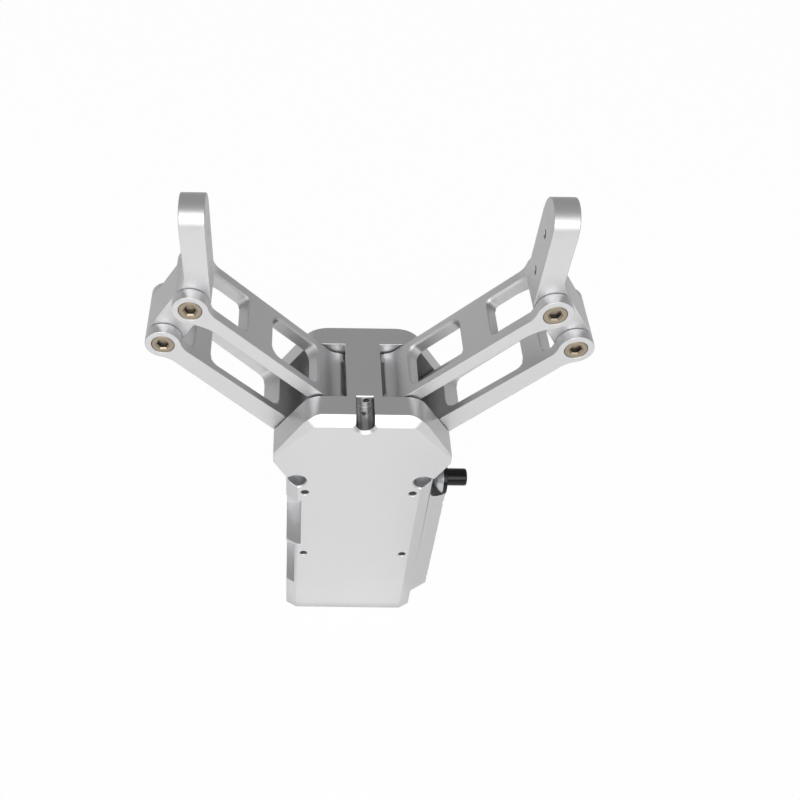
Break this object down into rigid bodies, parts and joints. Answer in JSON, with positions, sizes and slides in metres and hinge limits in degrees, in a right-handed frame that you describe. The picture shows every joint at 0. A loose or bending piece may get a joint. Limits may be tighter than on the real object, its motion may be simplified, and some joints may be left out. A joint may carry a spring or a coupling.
{
  "type": "electric two finger gripper",
  "caption": "Silver electric two finger gripper for a robot arm, with long parallelogram links on a machined aluminium body and a black side connector.",
  "frame": {"origin": "centre of the tool flange face", "axes": "+Z from the tool flange to the fingertips, +X along the opening towards the connector side, -Y is the front"},
  "size_m": [0.2228, 0.072, 0.3127],
  "materials": {
    "satin_aluminium": "bead-blasted, clear anodised",
    "dark_aluminium": "grey anodised",
    "steel": "ground",
    "black_steel": "black oxide",
    "bronze": "turned bronze",
    "black_plastic": "moulded, satin",
    "board_green": "circuit board lacquer"
  },
  "bodies": {
    "base": {"housing": "satin_aluminium", "tool_flange": "dark_aluminium", "flange_screws": "steel", "side_cover": "satin_aluminium", "cover_screws": "steel", "connector_socket": "steel", "connector_nut": "black_plastic", "connector_plug": "black_plastic", "neck_screws": "steel", "port_screw": "black_steel", "control_board": "board_green", "encoder_board": "board_green", "motor_stator": "steel", "motor_end_cap": "dark_aluminium", "motor_retainer": "dark_aluminium", "bearing_block": "dark_aluminium", "screw_bearing": "steel", "bearing_ring": "bronze", "guide_rods": "steel", "drive_pins": "steel", "follower_pins": "steel", "pin_plugs": "black_steel"},
    "spindle": {"lead_screw": "steel", "motor_rotor": "black_steel", "encoder_disc": "black_plastic"},
    "rack": {"rack_carriage": "dark_aluminium", "carriage_nut": "bronze"},
    "left_drive_arm": {"left_drive_link": "satin_aluminium", "left_drive_bushes": "bronze", "left_upper_screw": "bronze"},
    "left_follower_arm": {"left_follower_link": "satin_aluminium", "left_follower_bushes": "bronze", "left_lower_screw": "bronze"},
    "left_finger_arm": {"left_finger": "satin_aluminium", "left_finger_bushes": "bronze"},
    "right_drive_arm": {"right_drive_link": "satin_aluminium", "right_drive_bushes": "bronze", "right_upper_screw": "bronze"},
    "right_follower_arm": {"right_follower_link": "satin_aluminium", "right_follower_bushes": "bronze", "right_lower_screw": "bronze"},
    "right_finger_arm": {"right_finger": "satin_aluminium", "right_finger_bushes": "bronze"}
  },
  "joints": [
    {"name": "left_drive", "type": "hinge", "parent": "base", "child": "left_drive_arm", "pos_m": [-0.0145, 0, 0.1845], "axis": [0, 1, 0], "range_deg": [0, 41]},
    {"name": "left_follower", "type": "hinge", "parent": "base", "child": "left_follower_arm", "pos_m": [-0.0298, 0, 0.161], "axis": [0, 1, 0], "range_deg": [0, 41]},
    {"name": "left_finger_pivot", "type": "hinge", "parent": "left_drive_arm", "child": "left_finger_arm", "pos_m": [-0.08705, 0, 0.25929], "axis": [0, 1, 0], "range_deg": [-41, 0]},
    {"name": "right_drive", "type": "hinge", "parent": "base", "child": "right_drive_arm", "pos_m": [0.0145, 0, 0.1845], "axis": [0, 1, 0], "range_deg": [-41, 0]},
    {"name": "right_follower", "type": "hinge", "parent": "base", "child": "right_follower_arm", "pos_m": [0.0298, 0, 0.161], "axis": [0, 1, 0], "range_deg": [-41, 0]},
    {"name": "right_finger_pivot", "type": "hinge", "parent": "right_drive_arm", "child": "right_finger_arm", "pos_m": [0.08705, 0, 0.25929], "axis": [0, 1, 0], "range_deg": [0, 41]},
    {"name": "rack_slide", "type": "slide", "parent": "base", "child": "rack", "axis": [0, 0, -1], "range_m": [0, 0.00645]},
    {"name": "spindle_spin", "type": "hinge", "parent": "base", "child": "spindle", "pos_m": [0, 0, 0.1], "axis": [0, 0, 1], "range_deg": [0, 1160]}
  ],
  "couplings": [
    {"joint": "left_follower", "follows": "left_drive", "ratio": 1},
    {"joint": "left_finger_pivot", "follows": "left_drive", "ratio": -1},
    {"joint": "right_drive", "follows": "left_drive", "ratio": -1},
    {"joint": "right_follower", "follows": "left_drive", "ratio": -1},
    {"joint": "right_finger_pivot", "follows": "left_drive", "ratio": 1},
    {"joint": "rack_slide", "follows": "left_drive", "m_per_rad": 0.009},
    {"joint": "spindle_spin", "follows": "left_drive", "ratio": 28.274}
  ]
}
